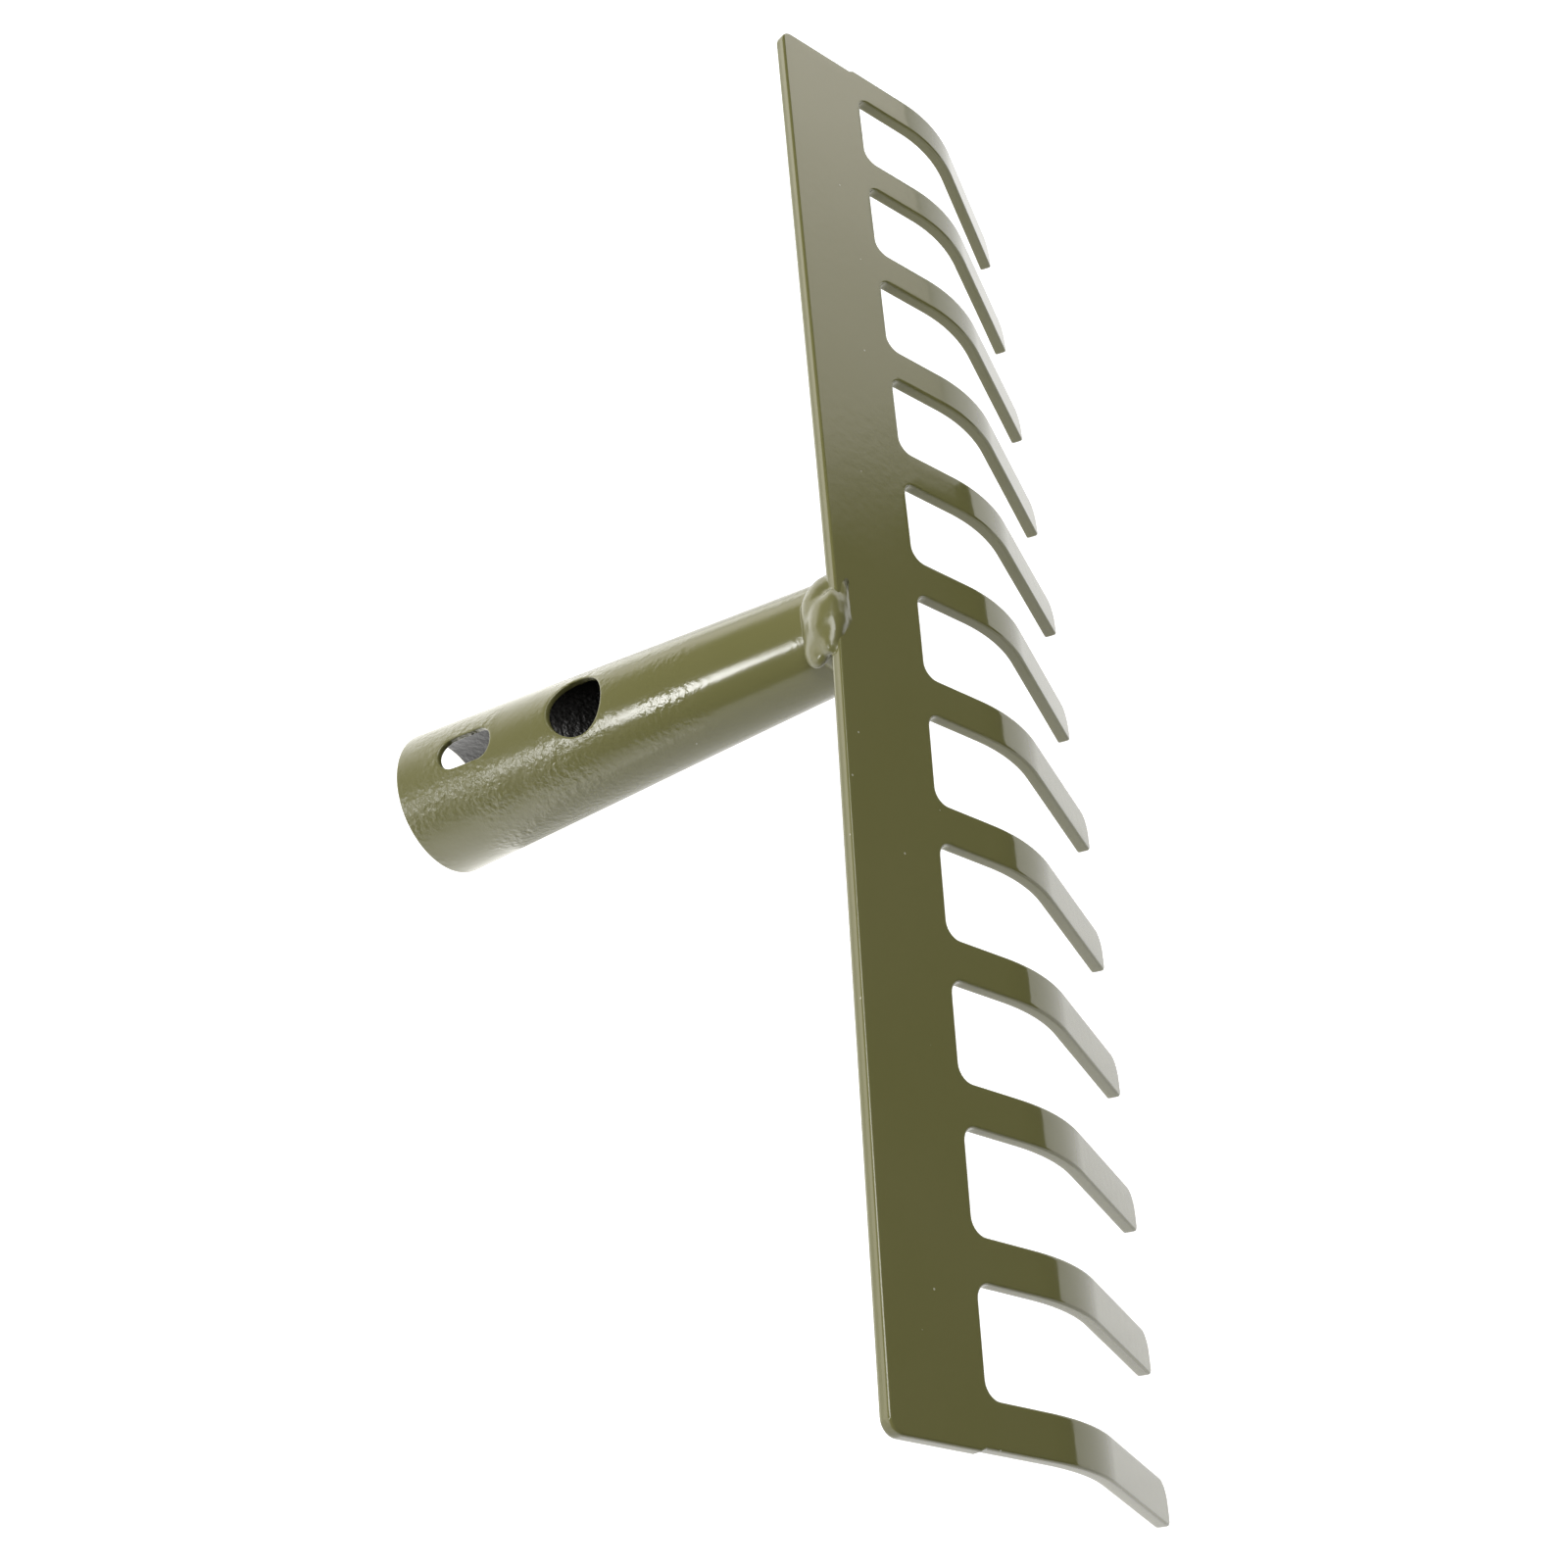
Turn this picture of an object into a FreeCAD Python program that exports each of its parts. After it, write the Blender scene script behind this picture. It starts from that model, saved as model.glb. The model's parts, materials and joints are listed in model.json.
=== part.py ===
import FreeCAD, Part
import math
import os
from FreeCAD import Vector

# Garden rake head: a stamped and bent steel comb with a tapered tube socket welded under it.
# Millimetres. The head is modelled flat in its own plane first (x along the bar, y from the
# back edge towards the teeth, z up through the sheet, top face at z = 0) and is then tipped
# so that it lies on its tooth tips and on the rim of the socket. The origin is the centre of
# the socket's mouth.

# comb
tooth_count = 12
tooth_pitch = 27.0
tooth_width = 8.0
sheet = 2.5
bar_width = 21.3
bend_start = 35.5        # from the back edge to where a tooth starts to bend
bend_radius = 42.0       # of the top face
bend_angle = 27.0
tip_length = 35.0        # straight end of a tooth, after the bend
root_radius = 3.0        # corners of the gaps between the teeth
tip_round_left = 4.0
tip_round_right = 1.5
bar_over_left = 3.25     # bar beyond the middle of the first and the last tooth
bar_over_right = 4.5
corner_left = 1.0
corner_right = 3.0
weld_draw = 1.1          # each half of the bar leans this far down from the weld, degrees

# socket
mouth_radius = 15.0
top_radius = 10.0
wall = 1.5
socket_length = 104.0
socket_angle = 74.5      # between the socket's axis and the sheet
socket_inset = 10.8      # from the back edge to the axis, on the underside
hole_diameter = 12.8
hole_from_mouth = 43.6
slot_length = 12.8
slot_width = 6.9
slot_from_mouth = 17.0

# welds
bead_leg_socket = 8.5
bead_leg_sheet = 3.6
bead_back_overhang = 1.6
bead_front_overhang = 0.6
bead_seam = 0.6          # open seam between the two runs of weld
lap_radius = 3.4         # of the lump under the sheet's back edge
lap_over_radius = 2.7    # of the part of it that climbs over the edge
lap_start = 1.5
lap_end = 7.5
lap_behind = 1.2         # its middle behind the back edge
lap_below = 1.1          # and under the top of the sheet
lap_height = 2.6
half_overlap = 5.0       # each half of the comb is built this far past the middle, then trimmed

axis_up = Vector(0, math.cos(math.radians(socket_angle)), math.sin(math.radians(socket_angle)))
axis_out = Vector(0, -axis_up.z, axis_up.y)
top_centre = Vector(0, socket_inset, -sheet)
mouth_centre = top_centre - axis_up * socket_length
half_row = (tooth_count - 1) / 2 * tooth_pitch
big = 4 * (half_row + socket_length)


def half_space(side):
    """Box that fills everything on one side of x = 0."""
    return Part.makeBox(big, 2 * big, 2 * big, Vector(0 if side > 0 else -big, -big, -big))


def lean(shape, side):
    leaned = shape.copy()
    leaned.rotate(Vector(0, 0, 0), Vector(0, 1, 0), side * weld_draw)
    return leaned


def tooth_profile():
    """Side view of one tooth, from inside the bar to the tip."""
    turn = math.radians(bend_angle)
    along = Vector(0, math.cos(turn), -math.sin(turn))

    def on_bend(radius, angle):
        return Vector(0, bend_start + radius * math.sin(angle), radius * math.cos(angle) - bend_radius)

    inner_radius = bend_radius - sheet
    root = Vector(0, bar_width - root_radius, 0)
    top_start, top_end = on_bend(bend_radius, 0), on_bend(bend_radius, turn)
    low_start, low_end = on_bend(inner_radius, 0), on_bend(inner_radius, turn)
    low_root = Vector(0, root.y, -sheet)
    edges = [
        Part.makeLine(root, top_start),
        Part.Arc(top_start, on_bend(bend_radius, turn / 2), top_end).toShape(),
        Part.makeLine(top_end, top_end + along * tip_length),
        Part.makeLine(top_end + along * tip_length, low_end + along * tip_length),
        Part.makeLine(low_end + along * tip_length, low_end),
        Part.Arc(low_end, on_bend(inner_radius, turn / 2), low_start).toShape(),
        Part.makeLine(low_start, low_root),
        Part.makeLine(low_root, root),
    ]
    return Part.Face(Part.Wire(edges))


def edge_at(solid, x, y, tolerance=0.01):
    """Edges through the sheet's thickness whose middle is at this x and y."""
    found = []
    for edge in solid.Edges:
        middle = edge.CenterOfMass
        misses = (edge.Length - sheet, middle.x - x, middle.y - y)
        if max(abs(miss) for miss in misses) < tolerance:
            found.append(edge)
    return found


def tooth(x_middle):
    blank = tooth_profile().extrude(Vector(tooth_width, 0, 0))
    blank.translate(Vector(x_middle - tooth_width / 2, 0, 0))
    turn = math.radians(bend_angle)
    tip_y = bend_start + (bend_radius - sheet / 2) * math.sin(turn) + tip_length * math.cos(turn)
    for x, radius in ((-tooth_width / 2, tip_round_left), (tooth_width / 2, tip_round_right)):
        blank = blank.makeFillet(radius, edge_at(blank, x_middle + x, tip_y))
    return blank


def comb_half(side):
    """The part of the comb on one side of the socket, still flat."""
    reach = half_row + (bar_over_right if side > 0 else bar_over_left)
    corner = corner_right if side > 0 else corner_left
    start = -half_overlap if side > 0 else -reach
    bar = Part.makeBox(reach + half_overlap, bar_width, sheet, Vector(start, 0, -sheet))
    bar = bar.makeFillet(corner, edge_at(bar, side * reach, 0))
    middles = [index * tooth_pitch - half_row for index in range(tooth_count)]
    mine = [x for x in middles if x * side > 0]
    half = bar.multiFuse([tooth(x) for x in mine]).removeSplitter()
    roots = []
    for x in mine:
        for flank in (x - tooth_width / 2, x + tooth_width / 2):
            if abs(flank) < half_row:
                roots += edge_at(half, flank, bar_width)
    return half.makeFillet(root_radius, roots)


def make_blade():
    halves = [lean(comb_half(side), side).common(half_space(side)) for side in (1, -1)]
    return halves[0].fuse(halves[1]).removeSplitter()


def above_sheet():
    """Everything over the underside of the sheet, cut away from what is welded to it."""
    halves = []
    for side in (1, -1):
        slab = Part.makeBox(2 * big, 2 * big, big, Vector(-big, -big, -sheet))
        halves.append(lean(slab, side).common(half_space(side)))
    return halves[0].fuse(halves[1])


def taper(radius_mouth, radius_top, length, start=0.0):
    """Solid cone along the socket, with its radii carried on to where it starts and ends."""
    slope = (radius_top - radius_mouth) / socket_length
    first, last = radius_mouth + slope * start, radius_mouth + slope * (start + length)
    return Part.makeCone(first, last, length, mouth_centre + axis_up * start, axis_up)


def make_socket(cap):
    spare = mouth_radius
    shell = taper(mouth_radius, top_radius, socket_length + spare)
    bore = taper(mouth_radius - wall, top_radius - wall, socket_length + 3 * spare, -spare)
    hole_centre = mouth_centre + axis_up * hole_from_mouth
    hole = Part.makeCylinder(hole_diameter / 2, 2 * mouth_radius, hole_centre, axis_out)
    slot = make_slot()
    return shell.cut(bore).cut(hole).cut(slot).cut(cap)


def make_slot():
    """Slot along the socket with round ends, through the wall on the same side as the hole."""
    half_run = (slot_length - slot_width) / 2
    ends = []
    for run in (-half_run, half_run):
        centre = mouth_centre + axis_up * (slot_from_mouth + run)
        ends.append(Part.makeCylinder(slot_width / 2, 2 * mouth_radius, centre, axis_out))
    block = Part.makeBox(slot_width, 2 * half_run, 2 * mouth_radius, Vector(-slot_width / 2, -half_run, 0))
    turn = FreeCAD.Rotation(Vector(1, 0, 0), Vector(0, 0, 1).getAngle(axis_out) * 180 / math.pi)
    block.Placement = FreeCAD.Placement(mouth_centre + axis_up * slot_from_mouth, turn)
    return ends[0].multiFuse([ends[1], block])


def bead_ring():
    """Fillet of weld all round the top of the socket, before it is split and trimmed."""
    start = socket_length - bead_leg_socket
    spare = top_radius
    radius_at_start = mouth_radius + (top_radius - mouth_radius) * start / socket_length
    radius_at_top = top_radius + bead_leg_sheet
    grow = (radius_at_top - radius_at_start) / bead_leg_socket
    run = bead_leg_socket + spare
    foot = mouth_centre + axis_up * start
    return Part.makeCone(radius_at_start, radius_at_start + grow * run, run, foot, axis_up)


def make_bead(back, cap):
    """The half of the fillet on the back or on the tooth side of the socket."""
    if back:
        low, high = -bead_back_overhang, socket_inset - bead_seam / 2
    else:
        low, high = socket_inset + bead_seam / 2, bar_width + bead_front_overhang
    side = Part.makeBox(2 * big, high - low, 2 * big, Vector(-big, low, -2 * big))
    core = taper(mouth_radius, top_radius, socket_length + 2 * top_radius)
    return bead_ring().common(side).cut(core).cut(cap)


def make_lap(blade, socket, bead):
    """Lump of weld that climbs from the fillet over the back edge on to the top of the sheet."""
    start, end = Vector(lap_start, -lap_behind, -lap_below), Vector(lap_end, -lap_behind, -lap_below)
    lump = Part.makeCylinder(lap_over_radius, lap_end - lap_start, start, end - start)
    for centre in (start, end):
        lump = lump.fuse(Part.makeSphere(lap_over_radius, centre))
    foot = Part.makeSphere(lap_radius, (start + end) / 2 - Vector(0, 0, lap_height))
    lump = lump.fuse(foot)
    core = taper(mouth_radius, top_radius, socket_length + 2 * top_radius)
    pieces = lump.cut(blade).cut(socket).cut(core).cut(bead).Solids
    return max(pieces, key=lambda piece: piece.Volume)


def rest(shapes):
    """Tip the head on to its outer tooth tips and the rim of its socket, origin at the mouth."""
    turn, draw = math.radians(bend_angle), math.radians(weld_draw)
    rim = mouth_centre - axis_out * mouth_radius
    tip_y = bend_start + (bend_radius - sheet) * math.sin(turn) + tip_length * math.cos(turn)
    tip_z = (bend_radius - sheet) * math.cos(turn) - bend_radius - tip_length * math.sin(turn)
    tip_z = tip_z * math.cos(draw) - half_row * math.sin(draw)
    tilt = math.degrees(math.atan2(tip_z - rim.z, tip_y - rim.y))
    for shape in shapes.values():
        shape.translate(mouth_centre * -1)
        shape.rotate(Vector(0, 0, 0), Vector(1, 0, 0), -tilt)
    return shapes


cap = above_sheet()
blade = make_blade()
socket = make_socket(cap)
bead_back = make_bead(True, cap)
bead_front = make_bead(False, cap)
lap = make_lap(blade, socket, bead_back)

nodes = rest({
    "rake_blade": blade,
    "handle_socket": socket,
    "weld_bead_back": bead_back,
    "weld_bead_front": bead_front,
    "weld_lap_top": lap,
})

os.makedirs("parts", exist_ok=True)
for name, shape in nodes.items():
    solids = shape.Solids
    print(name, "solids", len(solids), "valid", shape.isValid(), "volume", round(shape.Volume, 1))
    shape.exportStep("parts/" + name + ".step")
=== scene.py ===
import math
import json

import bmesh
import bpy
from mathutils import Matrix, Vector, noise


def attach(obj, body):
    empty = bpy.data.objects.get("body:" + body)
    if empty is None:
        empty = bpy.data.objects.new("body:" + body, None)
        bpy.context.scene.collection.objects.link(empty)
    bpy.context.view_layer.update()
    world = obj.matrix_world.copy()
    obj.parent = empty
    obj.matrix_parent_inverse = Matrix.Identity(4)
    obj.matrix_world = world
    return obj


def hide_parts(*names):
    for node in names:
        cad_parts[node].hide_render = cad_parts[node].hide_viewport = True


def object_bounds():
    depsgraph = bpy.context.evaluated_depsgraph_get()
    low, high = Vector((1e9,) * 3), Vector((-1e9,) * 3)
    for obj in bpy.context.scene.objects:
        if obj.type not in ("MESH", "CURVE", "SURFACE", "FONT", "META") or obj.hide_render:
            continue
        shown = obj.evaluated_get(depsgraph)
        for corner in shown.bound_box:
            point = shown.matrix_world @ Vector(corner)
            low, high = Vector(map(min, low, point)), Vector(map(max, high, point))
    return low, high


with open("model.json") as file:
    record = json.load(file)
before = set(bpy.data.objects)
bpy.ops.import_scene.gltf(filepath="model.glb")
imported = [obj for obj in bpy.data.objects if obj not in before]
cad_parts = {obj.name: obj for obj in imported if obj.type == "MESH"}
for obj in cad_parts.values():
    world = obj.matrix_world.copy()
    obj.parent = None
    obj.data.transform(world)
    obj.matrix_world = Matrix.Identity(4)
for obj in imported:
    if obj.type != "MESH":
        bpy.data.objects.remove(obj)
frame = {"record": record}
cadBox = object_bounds()
record = frame["record"]

# sizes are in metres; the sheet is worked out flat (x along the bar, y away from the back edge,
# z through the sheet with the top face at 0) and then laid where the frame holds it
sheet = {
    "thickness": 0.0025,
    "barWidth": 0.0213,
    "bendStart": 0.0355,
    "bendRadius": 0.042,
    "bendAngle": math.radians(27),
    "tipLength": 0.035,
    "lean": math.radians(1.1),
    "leanSoft": 0.012,  # the bar curves over this length at the weld instead of creasing
}
teeth = {
    "count": 12,
    "pitch": 0.027,
    "width": 0.008,
    "rootRadius": 0.003,
    "tipRoundLeft": 0.004,
    "tipRoundRight": 0.0015,
}
barEnds = {
    "left": 0.00325,
    "right": 0.0045,
    "cornerLeft": 0.0026,
    "cornerRight": 0.003,
    "shoulderBack": 0.002,  # the end of the bar is this much narrower
    "shoulderStep": 0.0012,  # and climbs this much towards the end tooth
    "shoulderRound": 0.0007,
}
socketSize = {
    "mouth": 0.015,
    "top": 0.010,
    "wall": 0.0015,
    "length": 0.104,
    "angle": math.radians(74.5),
    "inset": 0.0108,
}

mounts = {mount["name"]: mount for mount in record["mounts"]}
socketAxis = -Vector(mounts["handle_socket"]["axis"])
tilt = socketSize["angle"] - math.atan2(socketAxis.z, socketAxis.y)
axisFlat = Vector((0, math.cos(socketSize["angle"]), math.sin(socketSize["angle"])))
outFlat = Vector((0, -axisFlat.z, axisFlat.y))
mouthFlat = Vector((0, socketSize["inset"], -sheet["thickness"])) - axisFlat * socketSize["length"]
turnToRow = Matrix.Rotation(-tilt, 4, "X") @ Matrix.Translation(-mouthFlat)
halfRow = (teeth["count"] - 1) / 2 * teeth["pitch"]


def toRow(point):
    return turnToRow @ Vector(point)


def bendLength():
    return sheet["bendRadius"] * sheet["bendAngle"]


def tipReach():
    return sheet["bendStart"] + bendLength() + sheet["tipLength"]


# each tooth was bent a little differently: more angle in degrees, and longer or shorter
toothQuirks = {
    1: (2.5, -0.0030),
    2: (1.8, -0.0028),
    3: (0.9, -0.0026),
    4: (0.8, -0.0022),
    5: (0.0, -0.0018),
    6: (0.8, -0.0016),
    7: (-0.5, -0.0010),
    8: (-0.3, -0.0005),
    9: (-0.5, -0.0006),
    10: (-0.5, -0.0003),
    11: (0.3, -0.0002),
    12: (0.2, -0.0002),
}


def quirkAt(x):
    number = min(max(round((x + halfRow) / teeth["pitch"]) + 1, 1), teeth["count"])
    angle, longer = toothQuirks[number]
    return math.radians(angle), longer


def bendPoint(x, run, depth):
    # run is measured along the top face from the back edge, depth is 0 on top and negative below
    start = sheet["bendStart"]
    if run <= start:
        return Vector((x, run, depth))
    extraAngle, longer = quirkAt(x)
    whole = sheet["bendAngle"] + extraAngle
    radius = bendLength() / whole
    angle = min((run - start) / radius, whole)
    y = start + (radius + depth) * math.sin(angle)
    z = (radius + depth) * math.cos(angle) - radius
    rest = max(0.0, run - start - bendLength()) * (1 + longer / sheet["tipLength"])
    return Vector((x, y + rest * math.cos(angle), z - rest * math.sin(angle)))


def leanPoint(point):
    # each half of the bar leans down from the weld
    soft = sheet["leanSoft"]
    away = math.sqrt(point.x ** 2 + soft ** 2) - soft
    share = point.x / math.sqrt(point.x ** 2 + soft ** 2)
    angle = sheet["lean"] * share
    turned = Matrix.Rotation(angle, 4, "Y") @ Vector((0, 0, point.z))
    return Vector((point.x * math.cos(sheet["lean"] * abs(share)) + turned.x, point.y,
                   turned.z - away * math.sin(sheet["lean"])))


def roundedOutline(corners, arcSteps=7):
    # corners are (x, y, radius); the outline runs counter-clockwise
    points = []
    count = len(corners)
    nearlyStraight = math.pi - 0.01
    for index, (x, y, radius) in enumerate(corners):
        here = Vector((x, y))
        before = (Vector(corners[index - 1][:2]) - here).normalized()
        after = (Vector(corners[(index + 1) % count][:2]) - here).normalized()
        between = before.angle(after)
        if radius <= 0 or between > nearlyStraight:
            points.append(here)
            continue
        cut = radius / math.tan(between / 2)
        start, end = here + before * cut, here + after * cut
        centre = here + (before + after).normalized() * (radius / math.sin(between / 2))
        first, last = start - centre, end - centre
        for step in range(arcSteps + 1):
            swing = first.slerp(last, step / arcSteps)
            points.append(centre + swing.normalized() * radius)
    return points


def outlineNormals(points):
    # unit vectors pointing into the metal
    normals = []
    count = len(points)
    for index in range(count):
        along = (points[(index + 1) % count] - points[index]).normalized()
        along += (points[index] - points[index - 1]).normalized()
        normals.append(Vector((-along.y, along.x)).normalized())
    return normals


def combCorners():
    flank, root = teeth["width"] / 2, teeth["rootRadius"]
    left, right = -halfRow - barEnds["left"], halfRow + barEnds["right"]
    shoulder = sheet["barWidth"] - barEnds["shoulderBack"]
    climbed = shoulder + barEnds["shoulderStep"]
    soft = barEnds["shoulderRound"]
    corners = [(left, 0, barEnds["cornerLeft"]), (right, 0, barEnds["cornerRight"])]
    corners += [(right, shoulder, soft), (halfRow + flank, climbed, soft)]
    tip = tipReach()
    for index in reversed(range(teeth["count"])):
        x = index * teeth["pitch"] - halfRow
        corners += [(x + flank, tip, teeth["tipRoundRight"])]
        corners += [(x - flank, tip, teeth["tipRoundLeft"])]
        if index:
            corners += [(x - flank, sheet["barWidth"], root)]
            corners += [(x - teeth["pitch"] + flank, sheet["barWidth"], root)]
    corners += [(-halfRow - flank, climbed, soft), (left, shoulder, soft)]
    return corners


def newObject(name, mesh, material):
    piece = bpy.data.objects.new(name, mesh)
    bpy.context.collection.objects.link(piece)
    mesh.materials.append(material)
    return piece


def finishMesh(build, name):
    bmesh.ops.recalc_face_normals(build, faces=build.faces)
    mesh = bpy.data.meshes.new(name)
    build.to_mesh(mesh)
    build.free()
    for polygon in mesh.polygons:
        polygon.use_smooth = True
    return mesh


def closeRing(build, upper, lower):
    count = len(upper)
    for index in range(count):
        after = (index + 1) % count
        build.faces.new((upper[index], upper[after], lower[after], lower[index]))


bladeLook = {
    # inset from the outline and depth, from the rolled top edge round to the sheared bottom edge
    "edge": ((0.00050, 0.0), (0.00030, -0.00004), (0.00013, -0.00015), (0.00003, -0.00034),
             (0.0, -0.00060), (0.0, -0.0012), (0.0, -0.0018), (0.00002, -0.00225),
             (0.00012, -0.00243), (0.0003, -0.0025)),
    "grid": 0.0025,  # spacing of the cuts that let the sheet bend
    "bendGrid": 0.001,
    "bendMargin": 0.001,
    "tipClear": 0.0005,
    "cutMerge": 1e-7,
    "waveHeight": 0.00003,
    "waveLength": 0.022,
    "seed": 11,
}


def buildBlade(material):
    build = bmesh.new()
    outline = roundedOutline(combCorners())
    inward = outlineNormals(outline)
    rings = []
    for inset, depth in bladeLook["edge"]:
        ring = []
        for point, normal in zip(outline, inward):
            place = point + normal * inset
            ring.append(build.verts.new((place.x, place.y, depth)))
        rings.append(ring)
    for upper, lower in zip(rings, rings[1:]):
        closeRing(build, upper, lower)
    build.faces.new(rings[0])
    build.faces.new(list(reversed(rings[-1])))
    bend, margin = sheet["bendStart"], bladeLook["bendMargin"]
    cuts = []
    run = bladeLook["grid"]
    while run < tipReach() - bladeLook["tipClear"]:
        cuts.append(((0, run, 0), (0, 1, 0)))
        inBend = bend - margin < run < bend + bendLength() + margin
        run += bladeLook["bendGrid"] if inBend else bladeLook["grid"]
    steps = int(2 * (halfRow + teeth["pitch"]) / bladeLook["grid"])
    for step in range(steps):
        x = -halfRow - teeth["pitch"] + (step + 0.5) * bladeLook["grid"]
        cuts.append(((x, 0, 0), (1, 0, 0)))
    for place, normal in cuts:
        geometry = list(build.verts) + list(build.edges) + list(build.faces)
        bmesh.ops.bisect_plane(build, geom=geometry, dist=bladeLook["cutMerge"],
                               plane_co=place, plane_no=normal)
    for vert in build.verts:
        x, run, depth = vert.co
        point = bendPoint(x, run, depth)
        wave = noise.noise(Vector((x, run, bladeLook["seed"])) / bladeLook["waveLength"])
        point.z += wave * bladeLook["waveHeight"]
        vert.co = toRow(leanPoint(point))
    mesh = finishMesh(build, "rakeBlade")
    piece = newObject("rakeBlade", mesh, material)
    weight = piece.modifiers.new("evenNormals", "WEIGHTED_NORMAL")
    weight.keep_sharp = True
    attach(piece, "root")
    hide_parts("rake_blade")
    print("blade", len(mesh.polygons), "faces")


socketLook = {
    "around": 96,
    "rows": 60,
    "rimRound": 0.0005,
    "rimTurns": tuple(math.radians(22 + 22 * part) for part in range(3)),
    "holeRound": 0.0004,
    "patchShares": (0.34, 0.62, 0.84, 1.0),  # rings from the patch's border to the lip
    "lipTurns": (0.33, 0.66, 1.0),  # rings that round over into the opening
    "topSearch": (0.7, 1.3),  # shares of the length between which the socket meets the sheet
    "searchSteps": 30,
    "hole": {"at": 0.0436, "long": 0.0128, "wide": 0.0128, "patch": (9, 5)},
    "slot": {"at": 0.0170, "long": 0.0128, "wide": 0.0069, "patch": (6, 5)},
}


def socketRadius(run, inside):
    slope = (socketSize["top"] - socketSize["mouth"]) / socketSize["length"]
    return socketSize["mouth"] + slope * run - (socketSize["wall"] if inside else 0)


def socketPoint(angle, run, radius):
    # angle 0 is the side that holds the slot and the hole
    across = Vector((1, 0, 0)) * math.sin(angle) + outFlat * math.cos(angle)
    return mouthFlat + axisFlat * run + across * radius


def topRun(angle, inside):
    # where this line along the socket meets the underside of the sheet
    low, high = (socketSize["length"] * share for share in socketLook["topSearch"])
    for _ in range(socketLook["searchSteps"]):
        middle = (low + high) / 2
        point = socketPoint(angle, middle, socketRadius(middle, inside))
        limit = -sheet["thickness"] - abs(point.x) * math.tan(sheet["lean"])
        low, high = (middle, high) if point.z < limit else (low, middle)
    return low


def holeShape(hole, angle):
    # point of the opening's outline in the direction of angle: x across, y along the socket
    half = (hole["long"] - hole["wide"]) / 2
    radius = hole["wide"] / 2
    direction = Vector((math.cos(angle), math.sin(angle)))
    if half <= 0:
        return direction * radius
    tiny = 1e-9
    side = radius / max(abs(direction.x), tiny)
    if abs(direction.y) * side <= half:
        return direction * side
    centre = Vector((0, math.copysign(half, direction.y)))
    along = direction.dot(centre)
    reach = along + math.sqrt(max(0.0, along ** 2 - centre.length_squared + radius ** 2))
    return direction * reach


def lipLine(build, hole, flatEdge, inside, share, grow, drop):
    # ring round an opening: this share of the way from the border to the lip, the lip grown by
    # this much, and all of it sunk this far into the wall
    line = []
    for flat in flatEdge:
        lip = holeShape(hole, math.atan2(flat.y, flat.x))
        place = flat.lerp(lip + lip.normalized() * grow, share)
        run = hole["at"] + place.y
        radius = socketRadius(run, inside)
        turn = math.asin(max(-1, min(1, place.x / radius)))
        point = socketPoint(turn, run, radius)
        line.append(build.verts.new(point + outFlat * (drop if inside else -drop)))
    return line


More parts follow.
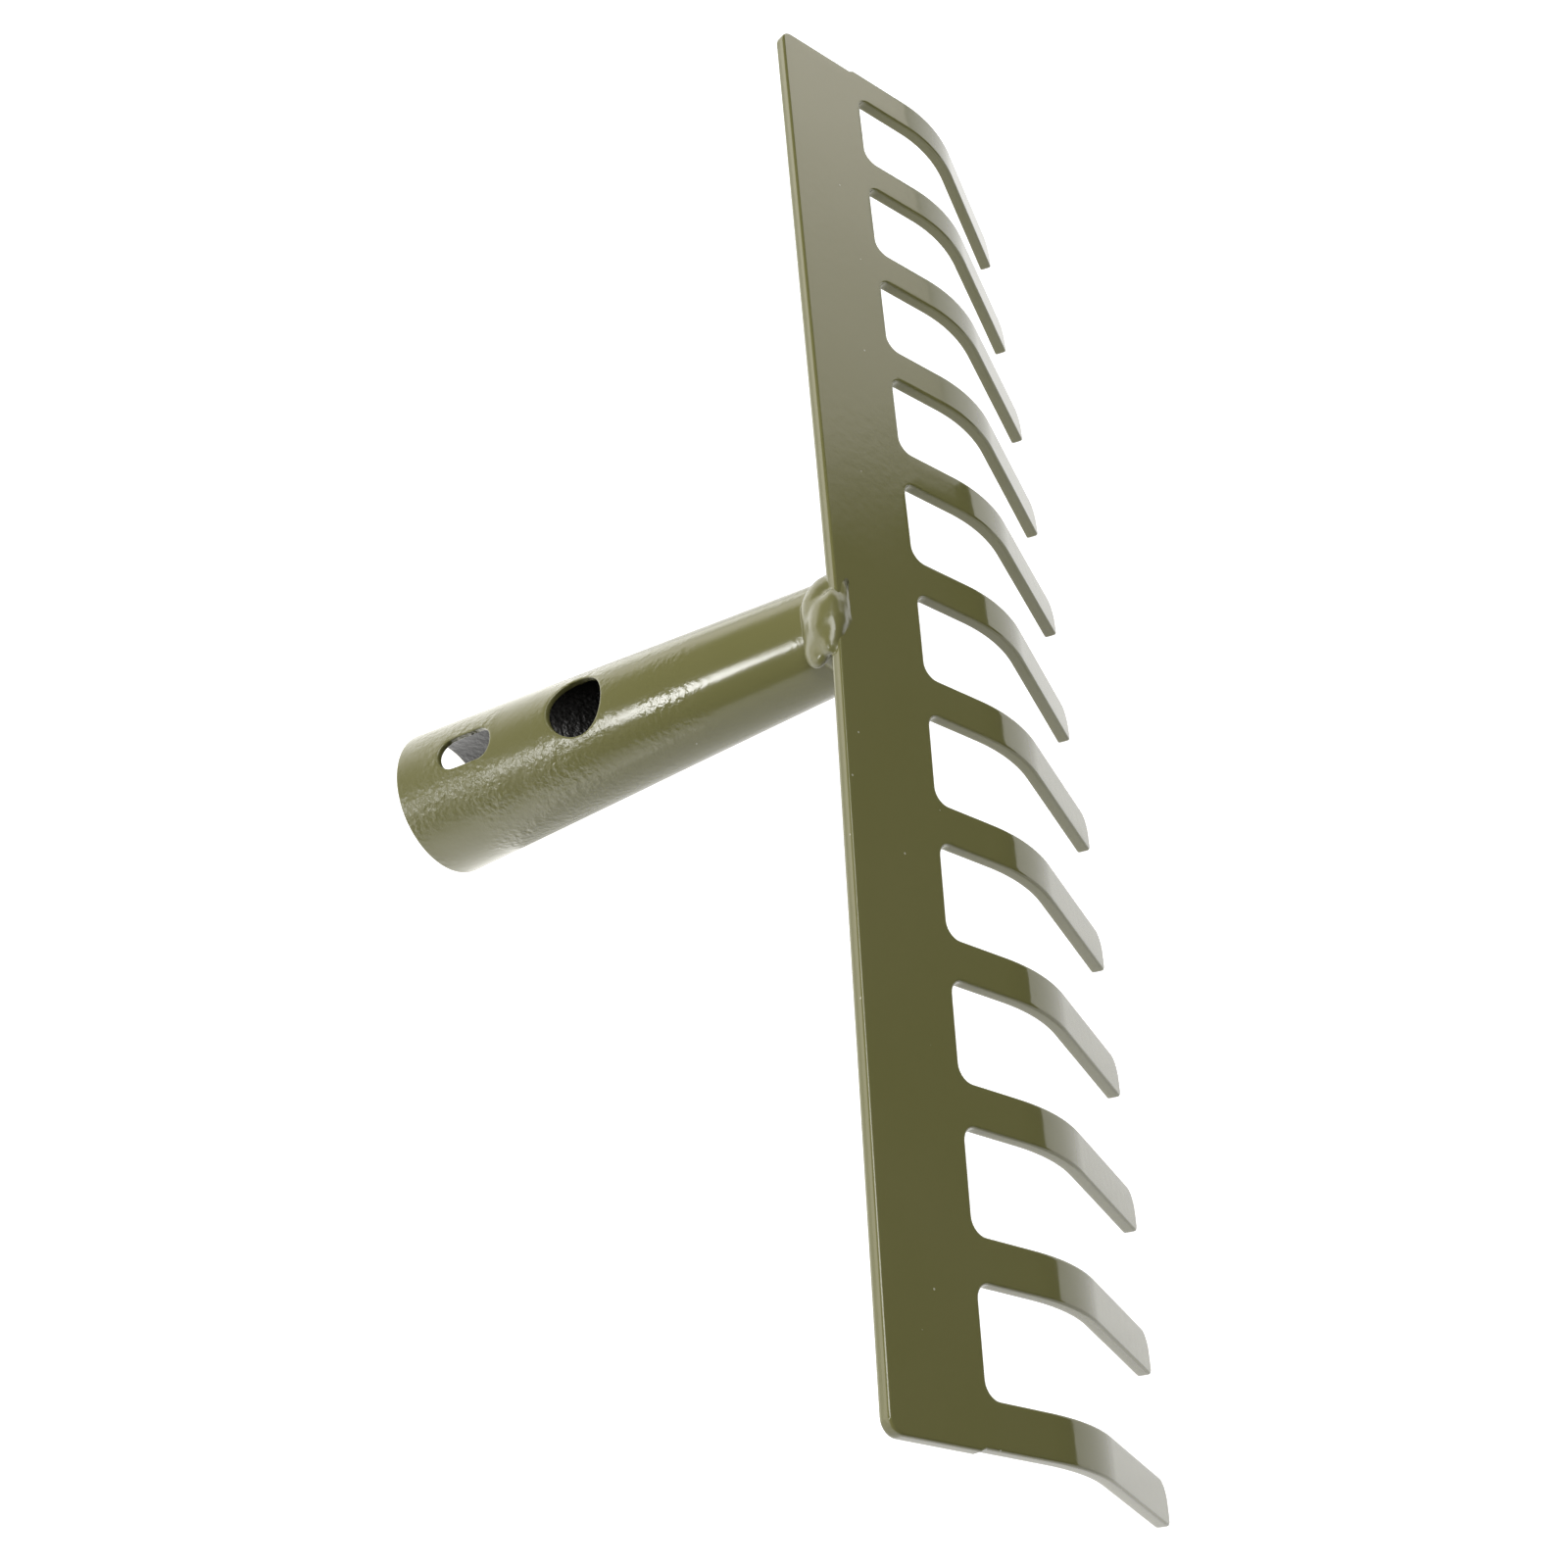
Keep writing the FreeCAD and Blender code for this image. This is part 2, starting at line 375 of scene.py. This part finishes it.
def buildSocket(material):
    build = bmesh.new()
    around, rows = socketLook["around"], socketLook["rows"]
    step = 2 * math.pi / around
    # marks the inside of the wall, which the paint tints nearly black as painted shade
    inner = build.verts.layers.float.new("inner")
    openings = []
    for hole in (socketLook["hole"], socketLook["slot"]):
        halfAcross, halfAlong = hole["patch"]
        row = round(hole["at"] / socketSize["length"] * rows)
        openings.append((hole, row - halfAlong, row + halfAlong, -halfAcross, halfAcross))

    def inPatch(row, column):
        column = (column + around // 2) % around - around // 2
        return any(first <= row < last and left <= column < right
                   for _, first, last, left, right in openings)

    def runAt(row, angle, inside):
        first = socketLook["rimRound"]
        return first + (topRun(angle, inside) - first) * row / rows

    layers = []
    for inside in (False, True):
        grid = []
        for row in range(rows + 1):
            line = []
            for column in range(around):
                angle = column * step
                run = runAt(row, angle, inside)
                line.append(build.verts.new(socketPoint(angle, run, socketRadius(run, inside))))
                line[-1][inner] = 1.0 if inside else 0.0
            grid.append(line)
        layers.append(grid)
        for row in range(rows):
            for column in range(around):
                if not inPatch(row, column):
                    after = (column + 1) % around
                    upper, lower = grid[row], grid[row + 1]
                    build.faces.new((upper[column], upper[after], lower[after], lower[column]))

    # rolled rim at the mouth, closed ring at the top
    rim = []
    edge, wall = socketLook["rimRound"], socketSize["wall"]
    turns = socketLook["rimTurns"]
    profile = [(edge * (1 - math.sin(turn)), edge * (1 - math.cos(turn))) for turn in turns]
    profile += [(0.0, edge), (0.0, wall - edge)]
    profile += [(edge * (1 - math.cos(turn)), wall - edge * (1 - math.sin(turn))) for turn in turns]
    for run, inset in profile:
        line = []
        radius = socketRadius(run, False) - inset
        for column in range(around):
            line.append(build.verts.new(socketPoint(column * step, run, radius)))
        rim.append(line)
    loops = [layers[0][0]] + rim + [layers[1][0]]
    loops = list(zip(loops, loops[1:])) + [(layers[0][rows], layers[1][rows])]
    for upper, lower in loops:
        closeRing(build, upper, lower)

    soften = socketLook["holeRound"]
    for hole, first, last, left, right in openings:
        border = [(row, left) for row in range(first, last)]
        border += [(last, column) for column in range(left, right)]
        border += [(row, right) for row in range(last, first, -1)]
        border += [(first, column) for column in range(right, left, -1)]
        walls = []
        for inside in (False, True):
            grid = layers[1 if inside else 0]
            edgeVerts = [grid[row][column % around] for row, column in border]
            flatEdge = []
            for row, column in border:
                angle = column * step
                run = runAt(row, angle % (2 * math.pi), inside)
                across = socketRadius(run, inside) * math.sin(angle)
                flatEdge.append(Vector((across, run - hole["at"])))
            lines = [edgeVerts]
            for share in socketLook["patchShares"]:
                lines.append(lipLine(build, hole, flatEdge, inside, share, soften, 0.0))
            for part in socketLook["lipTurns"]:
                swing = part * math.pi / 2
                grow, drop = soften * (1 - math.sin(swing)), soften * (1 - math.cos(swing))
                lines.append(lipLine(build, hole, flatEdge, inside, 1.0, grow, drop))
            for upper, lower in zip(lines, lines[1:]):
                closeRing(build, upper, lower)
            walls.append(lines[-1])
        closeRing(build, *walls)
    for vert in build.verts:
        vert.co = toRow(vert.co)
    mesh = finishMesh(build, "handleSocket")
    piece = newObject("handleSocket", mesh, material)
    piece.modifiers.new("evenNormals", "WEIGHTED_NORMAL").keep_sharp = True
    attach(piece, "root")
    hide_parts("handle_socket")
    print("socket", len(mesh.polygons), "faces")


weldLook = {
    # hidden copies of the socket's top and of the sheet that the weld melts into
    "tubeAround": 48,
    "tubeBelow": 0.016,
    "tubeAbove": 0.0005,
    "sheetWide": 0.034,
    "sheetCuts": 9,
    "sink": 0.00022,
    # one lump of the fillet: half width, spare length, degrees to the next
    "blobWide": 0.0026,
    "blobSpare": 0.0003,
    "blobStep": 5,
    "blobFineness": 3,
    "voxel": 0.00032,
    "softenings": 50,
    "lumps": 0.00008,
    "lumpScale": 420.0,
    "fine": 0.25,
    "fineScale": 1300.0,
    # round the back of the socket: angle from the back, how far it reaches down, how thick it is
    "back": ((-58, 0.0014, 0.0006), (-39, 0.0030, 0.0012), (-20, 0.0046, 0.0017),
             (0, 0.0056, 0.0021),
             (25, 0.0058, 0.0022), (47, 0.0058, 0.0019), (64, 0.0060, 0.0015), (78, 0.0052, 0.0011),
             (88, 0.0022, 0.0007)),
    "front": ((96, 0.0024, 0.0009), (130, 0.0046, 0.0017), (180, 0.0055, 0.0020),
              (230, 0.0046, 0.0017),
              (268, 0.0024, 0.0009)),
    # over the back edge: middle, then half sizes
    "lap": (((0.0044, 0.0000, -0.0012), (0.0064, 0.0022, 0.0021)),
            ((0.0046, -0.0009, -0.0034), (0.0052, 0.0022, 0.0034)),
            ((0.0040, 0.0004, -0.0008), (0.0050, 0.0022, 0.0017)),
            ((0.0086, -0.0004, -0.0024), (0.0036, 0.0015, 0.0022)),
            ((0.0046, 0.0000, -0.0046), (0.0070, 0.0024, 0.0044)),
            ((0.0080, 0.0002, -0.0060), (0.0050, 0.0020, 0.0036))),
}


def hiddenTube(build, sink):
    # ring of the socket's top, a little thinner than the real one, for the weld to melt into
    around = weldLook["tubeAround"]
    first = socketSize["length"] - weldLook["tubeBelow"]
    last = socketSize["length"] + weldLook["tubeAbove"]
    loops = []
    for inside, run in ((False, first), (False, last), (True, last), (True, first)):
        radius = socketRadius(run, inside) + (sink if inside else -sink)
        turns = [2 * math.pi * step / around for step in range(around)]
        loops.append([build.verts.new(socketPoint(turn, run, radius)) for turn in turns])
    for upper, lower in zip(loops, loops[1:] + loops[:1]):
        closeRing(build, upper, lower)


def hiddenSheet(build, sink):
    wide = weldLook["sheetWide"]
    deep, thick = sheet["barWidth"] - 2 * sink, sheet["thickness"] - 2 * sink
    middle = Vector((0, sheet["barWidth"] / 2, -sheet["thickness"] / 2))
    place = Matrix.Translation(middle) @ Matrix.Diagonal((wide, deep, thick, 1))
    made = bmesh.ops.create_cube(build, size=1.0, matrix=place)["verts"]
    along = dict.fromkeys(edge for vert in made for edge in vert.link_edges
                          if abs(edge.verts[0].co.x - edge.verts[1].co.x) > wide / 2)
    bmesh.ops.subdivide_edges(build, edges=list(along), cuts=weldLook["sheetCuts"],
                              use_grid_fill=True)


def lumpPiece(name, nodes, blobs, material):
    # blobs are matrices that each turn a unit ball into one lump
    build = bmesh.new()
    for blob in blobs:
        bmesh.ops.create_icosphere(build, subdivisions=weldLook["blobFineness"], radius=1.0,
                                   matrix=blob)
    hiddenTube(build, weldLook["sink"])
    hiddenSheet(build, weldLook["sink"])
    mesh = finishMesh(build, name)
    piece = newObject(name, mesh, material)
    remesh = piece.modifiers.new("melt", "REMESH")
    remesh.mode, remesh.voxel_size = "VOXEL", weldLook["voxel"]
    soften = piece.modifiers.new("soften", "SMOOTH")
    soften.factor, soften.iterations = 0.5, weldLook["softenings"]
    bpy.context.view_layer.update()
    depsgraph = bpy.context.evaluated_depsgraph_get()
    melted = bpy.data.meshes.new_from_object(piece.evaluated_get(depsgraph))
    piece.modifiers.clear()
    piece.data = melted
    normals = [vert.normal.copy() for vert in melted.vertices]
    for vert, normal in zip(melted.vertices, normals):
        push = noise.noise(vert.co * weldLook["lumpScale"])
        push += weldLook["fine"] * noise.noise(vert.co * weldLook["fineScale"])
        vert.co = toRow(leanPoint(vert.co + normal * push * weldLook["lumps"]))
    for polygon in melted.polygons:
        polygon.use_smooth = True
    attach(piece, "root")
    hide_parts(*nodes)
    print(name, len(melted.polygons), "faces")


def between(rows, angle):
    for first, second in zip(rows, rows[1:]):
        if first[0] <= angle <= second[0]:
            share = (angle - first[0]) / (second[0] - first[0])
            return [low + (high - low) * share for low, high in zip(first[1:], second[1:])]
    return rows[-1][1:]


def filletBlobs(rows):
    blobs = []
    angle = rows[0][0]
    while angle <= rows[-1][0]:
        reach, thick = between(rows, angle)
        turn = math.radians(angle)
        radial = Vector((1, 0, 0)) * math.sin(turn) + outFlat * math.cos(turn)
        run = topRun(turn, False) - reach / 2
        place = socketPoint(turn, run, socketRadius(run, False))
        size = (weldLook["blobWide"], reach / 2 + weldLook["blobSpare"], thick)
        axes = (radial.cross(axisFlat), axisFlat, radial)
        turned = Matrix([axis * length for axis, length in zip(axes, size)]).transposed()
        blobs.append(Matrix.Translation(place) @ turned.to_4x4())
        angle += weldLook["blobStep"]
    return blobs


def buildWelds(material):
    back = filletBlobs(weldLook["back"])
    back += [Matrix.Translation(place) @ Matrix.Diagonal((*size, 1))
             for place, size in weldLook["lap"]]
    lumpPiece("weldBack", ("weld_bead_back", "weld_lap_top"), back, material)
    lumpPiece("weldFront", ("weld_bead_front",), filletBlobs(weldLook["front"]), material)


def socketGroup(name, inputs, outputs):
    group = bpy.data.node_groups.new(name, "ShaderNodeTree")
    for label, kind, value in inputs:
        socket = group.interface.new_socket(label, in_out="INPUT", socket_type=kind)
        if value is not None:
            socket.default_value = value
    for label, kind in outputs:
        group.interface.new_socket(label, in_out="OUTPUT", socket_type=kind)
    return group, group.nodes.new("NodeGroupInput"), group.nodes.new("NodeGroupOutput")


def mathNode(tree, operation, *values, clamp=False):
    node = tree.nodes.new("ShaderNodeMath")
    node.operation, node.use_clamp = operation, clamp
    for slot, value in zip(node.inputs, values):
        if isinstance(value, (int, float)):
            slot.default_value = value
        else:
            tree.links.new(value, slot)
    return node.outputs[0]


def noiseNode(tree, scale, detail, roughness):
    coordinates = tree.nodes.new("ShaderNodeTexCoord")
    texture = tree.nodes.new("ShaderNodeTexNoise")
    texture.inputs["Detail"].default_value = detail
    texture.inputs["Roughness"].default_value = roughness
    if isinstance(scale, (int, float)):
        texture.inputs["Scale"].default_value = scale
    else:
        tree.links.new(scale, texture.inputs["Scale"])
    tree.links.new(coordinates.outputs["Object"], texture.inputs["Vector"])
    return texture.outputs["Fac"]


def mapNode(tree, value, span, result=(0.0, 1.0), smooth=False):
    node = tree.nodes.new("ShaderNodeMapRange")
    if smooth:
        node.interpolation_type = "SMOOTHSTEP"
    node.inputs["From Min"].default_value, node.inputs["From Max"].default_value = span
    node.inputs["To Min"].default_value, node.inputs["To Max"].default_value = result
    tree.links.new(value, node.inputs["Value"])
    return node.outputs["Result"]


def tintNode(tree, share, first, second):
    # blends two colours; first is a socket or a colour, second is a colour
    node = tree.nodes.new("ShaderNodeMix")
    node.data_type = "RGBA"
    if isinstance(first, tuple):
        node.inputs["A"].default_value = (*first, 1)
    else:
        tree.links.new(first, node.inputs["A"])
    node.inputs["B"].default_value = (*second, 1)
    tree.links.new(share, node.inputs["Factor"])
    return node.outputs["Result"]


# small bumps that the spray leaves, stronger in some patches than in others
peelLook = {"fine": (2.0, 0.45), "patches": (45.0, 2.0, 0.5), "patchEdge": (0.42, 0.62)}
speckSize = 0.09  # radius of a dust speck, as a share of its cell


def makeOrangePeel():
    group, inside, outside = socketGroup(
        "orangePeel",
        [("Scale", "NodeSocketFloat", 700.0), ("Patchiness", "NodeSocketFloat", 0.5)],
        [("Height", "NodeSocketFloat")])
    fine = noiseNode(group, inside.outputs["Scale"], *peelLook["fine"])
    spread = mapNode(group, noiseNode(group, *peelLook["patches"]), peelLook["patchEdge"])
    keep = mathNode(group, "SUBTRACT", 1.0, inside.outputs["Patchiness"])
    amount = mathNode(group, "MULTIPLY", spread, inside.outputs["Patchiness"])
    amount = mathNode(group, "ADD", amount, keep, clamp=True)
    group.links.new(mathNode(group, "MULTIPLY", fine, amount), outside.inputs["Height"])
    return group


def makeDustSpecks():
    group, inside, outside = socketGroup(
        "dustSpecks",
        [("Scale", "NodeSocketFloat", 260.0), ("Amount", "NodeSocketFloat", 0.05)],
        [("Mask", "NodeSocketFloat"), ("Height", "NodeSocketFloat")])
    coordinates = group.nodes.new("ShaderNodeTexCoord")
    cells = group.nodes.new("ShaderNodeTexVoronoi")
    cells.feature = "F1"
    group.links.new(coordinates.outputs["Object"], cells.inputs["Vector"])
    group.links.new(inside.outputs["Scale"], cells.inputs["Scale"])
    near = mathNode(group, "LESS_THAN", cells.outputs["Distance"], speckSize)
    pick = group.nodes.new("ShaderNodeSeparateColor")
    group.links.new(cells.outputs["Color"], pick.inputs["Color"])
    chosen = mathNode(group, "LESS_THAN", pick.outputs["Red"], inside.outputs["Amount"])
    mask = mathNode(group, "MULTIPLY", near, chosen)
    group.links.new(mask, outside.inputs["Mask"])
    dome = mathNode(group, "SUBTRACT", speckSize, cells.outputs["Distance"], clamp=True)
    group.links.new(mathNode(group, "MULTIPLY", dome, chosen), outside.inputs["Height"])
    return group


paintBasics = {
    "ior": 1.5,
    "drift": (3.0, 0.5),
    "sheen": (60.0, 4.0, 0.6),
    "nibStrength": 0.8,
    "nibHeight": 0.0006,
}


def bumpNode(tree, height, strength, distance, normal=None):
    node = tree.nodes.new("ShaderNodeBump")
    node.inputs["Strength"].default_value = strength
    node.inputs["Distance"].default_value = distance
    tree.links.new(height, node.inputs["Height"])
    if normal:
        tree.links.new(normal, node.inputs["Normal"])
    return node.outputs["Normal"]


def groupNode(tree, group, values):
    node = tree.nodes.new("ShaderNodeGroup")
    node.node_tree = group
    for label, value in values.items():
        node.inputs[label].default_value = value
    return node.outputs


def makePaint(name, look, groups):
    material = bpy.data.materials.new(name)
    material.use_nodes = True
    tree = material.node_tree
    shader = tree.nodes["Principled BSDF"]
    shader.inputs["IOR"].default_value = paintBasics["ior"]
    # colour drifts a little where the paint is thinner, and dust sits in it
    drift = noiseNode(tree, look["driftScale"], *paintBasics["drift"])
    shade = tintNode(tree, drift, look["colour"], look["colourThin"])
    specks = groupNode(tree, groups["dustSpecks"], {
        "Scale": look["speckScale"], "Amount": look["speckAmount"]})
    shade = tintNode(tree, specks["Mask"], shade, look["speckColour"])
    # the inside of the socket is tinted nearly black: painted shade in the tube
    if "insideShadeColour" in look:
        inner = tree.nodes.new("ShaderNodeAttribute")
        inner.attribute_name = "inner"
        shade = tintNode(tree, inner.outputs["Fac"], shade, look["insideShadeColour"])
    tree.links.new(shade, shader.inputs["Base Color"])
    # sheen varies softly
    sheen = mapNode(tree, noiseNode(tree, *paintBasics["sheen"]), (0.0, 1.0), look["roughness"])
    peel = groupNode(tree, groups["orangePeel"], {
        "Scale": look["peelScale"], "Patchiness": look["peelPatchiness"]})
    height = peel["Height"]
    if "mouthEnd" in look:
        # 1 at the mouth of the socket, 0 from the middle on: rougher and bumpier paint
        place = tree.nodes.new("ShaderNodeTexCoord")
        split = tree.nodes.new("ShaderNodeSeparateXYZ")
        tree.links.new(place.outputs["Object"], split.inputs["Vector"])
        mouth = mapNode(tree, split.outputs["Y"], (look["mouthEnd"], 0.0), smooth=True)
        sheen = mathNode(tree, "ADD", sheen, mathNode(tree, "MULTIPLY", mouth, look["mouthRough"]))
        more = mathNode(tree, "ADD", mathNode(tree, "MULTIPLY", mouth, look["mouthPeel"]), 1.0)
        height = mathNode(tree, "MULTIPLY", height, more)
    tree.links.new(sheen, shader.inputs["Roughness"])
    bump = bumpNode(tree, height, look["peelStrength"], look["peelHeight"])
    nibs = bumpNode(tree, specks["Height"], paintBasics["nibStrength"],
                    paintBasics["nibHeight"], bump)
    tree.links.new(nibs, shader.inputs["Normal"])
    return material


sheetPaint = {
    "colour": (0.108, 0.106, 0.036),
    "colourThin": (0.118, 0.113, 0.046),
    "driftScale": 30.0,
    "speckColour": (0.30, 0.29, 0.22),
    "speckScale": 420.0,
    "speckAmount": 0.035,
    "roughness": (0.05, 0.11),
    "peelScale": 500.0,
    "peelPatchiness": 0.4,
    "peelStrength": 0.25,
    "peelHeight": 0.00006,
}
socketPaint = sheetPaint | {
    "roughness": (0.13, 0.20),
    "peelScale": 850.0,
    "peelPatchiness": 0.9,
    "peelStrength": 1.0,
    "peelHeight": 0.00009,
    "speckAmount": 0.05,
    # nearly black on the inside of the wall: painted shade
    "insideShadeColour": (0.008, 0.0075, 0.006),
    "mouthEnd": 0.062,
    "mouthRough": 0.17,
    "mouthPeel": 3.6,
}
weldPaint = sheetPaint | {"roughness": (0.2, 0.3), "peelStrength": 0.3, "speckAmount": 0.0}

studio = {
    "middle": (0.0, 0.05, 0.0),
    "floorSize": 2.4,
    "cardLift": 0.001,  # the cloth and the card lie this far above the floor
    # dark cloth beyond the teeth, seen only in the paint
    "cloth": ((-0.20, 0.28), (3.0, 0.28), (3.0, 3.0), (-2.4, 3.0)),
    # bright card under the socket, seen only in the paint
    "card": ((-0.35, -0.30), (0.16, -0.30), (0.16, 0.015), (-0.35, 0.015)),
    "cardGlow": 2.8,
    "cardColour": (1, 0.99, 0.97, 1),
    "darkColour": (0.01, 0.01, 0.01, 1),
    "floorColour": (0.40, 0.40, 0.40, 1),
    "floorRoughness": 0.9,
    "glowColour": (1, 0.995, 0.985, 1),
    # bright wall of the room: the way to it, how fast it begins and how bright, and its height
    "wallSide": (-0.766, -0.643),
    "wall": ((-0.04, 0.035, 1.5), (0.02, 0.2, 0.9)),
    "wallHeight": (0.12, 0.34),
    "roomColour": (1.0, 0.96, 0.91, 1),
    "roomDark": 0.04,
    "backdrop": 1.0,
    "floorGlow": 1.03,
    "topPower": 20.5,
    "topSize": 0.9,
    "topPlace": (-0.15, -0.05, 1.25),
    "windowPower": 4.2,
    "windowSize": (0.27, 0.20),
    "windowDirection": (0.341, -0.766, 0.545),
    "windowDistance": 1.1,
    "windowAim": (0.0, 0.03, 0.0),
}
view = {
    "place": (0.2545, 0.0768, 0.4181),
    "forward": (-0.5183, -0.0146, -0.8550),
    "right": (0.0535, 0.9972, -0.0495),
    "lens": 54.86,
    "sensor": 36.0,
    "clipStart": 0.01,
}


def lookAt(place, aim):
    turn = (Vector(aim) - Vector(place)).to_track_quat("-Z", "Y")
    return Matrix.Translation(place) @ turn.to_matrix().to_4x4()


def plainMaterial(name, values):
    material = bpy.data.materials.new(name)
    material.use_nodes = True
    shader = material.node_tree.nodes["Principled BSDF"]
    for label, value in values.items():
        shader.inputs[label].default_value = value
    return material


def layCard(name, corners, low, material):
    # a card on the floor that only reflections see
    mesh = bpy.data.meshes.new(name)
    height = low + studio["cardLift"]
    mesh.from_pydata([(x, y, height) for x, y in corners], [], [(0, 1, 2, 3)])
    piece = newObject(name, mesh, material)
    piece.visible_camera = piece.visible_diffuse = piece.visible_shadow = False


def hangLight(name, power, size, place, aim):
    light = bpy.data.lights.new(name, "AREA")
    light.shape, light.size, light.size_y, light.energy = "RECTANGLE", size[0], size[1], power
    holder = bpy.data.objects.new(name, light)
    bpy.context.collection.objects.link(holder)
    holder.matrix_world = lookAt(place, aim)


def buildRoom():
    world = bpy.data.worlds.new("studioRoom")
    bpy.context.scene.world = world
    world.use_nodes = True
    tree = world.node_tree
    back = tree.nodes["Background"]
    back.inputs["Color"].default_value = studio["roomColour"]
    place = tree.nodes.new("ShaderNodeTexCoord")
    split = tree.nodes.new("ShaderNodeSeparateXYZ")
    tree.links.new(place.outputs["Generated"], split.inputs["Vector"])
    # a bright wall low on the far left, its right edge soft, and a dark room beside it
    sideX, sideY = studio["wallSide"]
    side = mathNode(tree, "ADD", mathNode(tree, "MULTIPLY", split.outputs["X"], sideX),
                    mathNode(tree, "MULTIPLY", split.outputs["Y"], sideY))
    steps = [mapNode(tree, side, (start, end), (0.0, amount), smooth=True)
             for start, end, amount in studio["wall"]]
    low, high = studio["wallHeight"]
    height = mapNode(tree, split.outputs["Z"], (high, low), smooth=True)
    glow = mathNode(tree, "MULTIPLY", mathNode(tree, "ADD", *steps), height)
    lit = mathNode(tree, "ADD", glow, studio["roomDark"])
    # seen directly, the room is a plain pale backdrop
    path = tree.nodes.new("ShaderNodeLightPath")
    choose = tree.nodes.new("ShaderNodeMix")
    tree.links.new(path.outputs["Is Camera Ray"], choose.inputs["Factor"])
    tree.links.new(lit, choose.inputs["A"])
    choose.inputs["B"].default_value = studio["backdrop"]
    tree.links.new(choose.outputs["Result"], back.inputs["Strength"])


def buildStudio():
    low = cadBox[0][2]
    floorX, floorY, _ = studio["middle"]
    bpy.ops.mesh.primitive_plane_add(size=studio["floorSize"], location=(floorX, floorY, low))
    floor = bpy.context.object
    floor.name = "floor"
    floor.data.materials.append(plainMaterial("palePaper", {
        "Base Color": studio["floorColour"],
        "Roughness": studio["floorRoughness"],
        "Specular IOR Level": 0.0,
        "Emission Color": studio["glowColour"],
        "Emission Strength": studio["floorGlow"],
    }))
    felt = {"Base Color": studio["darkColour"], "Roughness": 1.0, "Specular IOR Level": 0.0}
    layCard("darkCloth", studio["cloth"], low, plainMaterial("darkFelt", felt))
    bright = {
        "Base Color": studio["darkColour"],
        "Emission Color": studio["cardColour"],
        "Emission Strength": studio["cardGlow"],
    }
    layCard("brightCard", studio["card"], low, plainMaterial("brightPaper", bright))

    top = studio["topSize"]
    hangLight("topSoftbox", studio["topPower"], (top, top), studio["topPlace"], studio["middle"])
    away = Vector(studio["windowDirection"]).normalized() * studio["windowDistance"]
    hangLight("windowSoftbox", studio["windowPower"], studio["windowSize"], away,
              studio["windowAim"])
    buildRoom()
    print("studio ready")


def buildCamera():
    camera = bpy.data.cameras.new("camera")
    camera.lens, camera.sensor_width = view["lens"], view["sensor"]
    camera.clip_start = view["clipStart"]
    holder = bpy.data.objects.new("camera", camera)
    bpy.context.collection.objects.link(holder)
    backward = -Vector(view["forward"]).normalized()
    right = Vector(view["right"])
    right = (right - backward * right.dot(backward)).normalized()
    turn = Matrix((right, backward.cross(right), backward)).transposed()
    holder.matrix_world = Matrix.Translation(view["place"]) @ turn.to_4x4()
    bpy.context.scene.camera = holder
    print("camera ready")


groups = {"orangePeel": makeOrangePeel(), "dustSpecks": makeDustSpecks()}
buildBlade(makePaint("sheetPaint", sheetPaint, groups))
buildSocket(makePaint("socketPaint", socketPaint, groups))
buildWelds(makePaint("weldPaint", weldPaint, groups))
buildStudio()
buildCamera()
bpy.context.scene.view_settings.view_transform = "Standard"
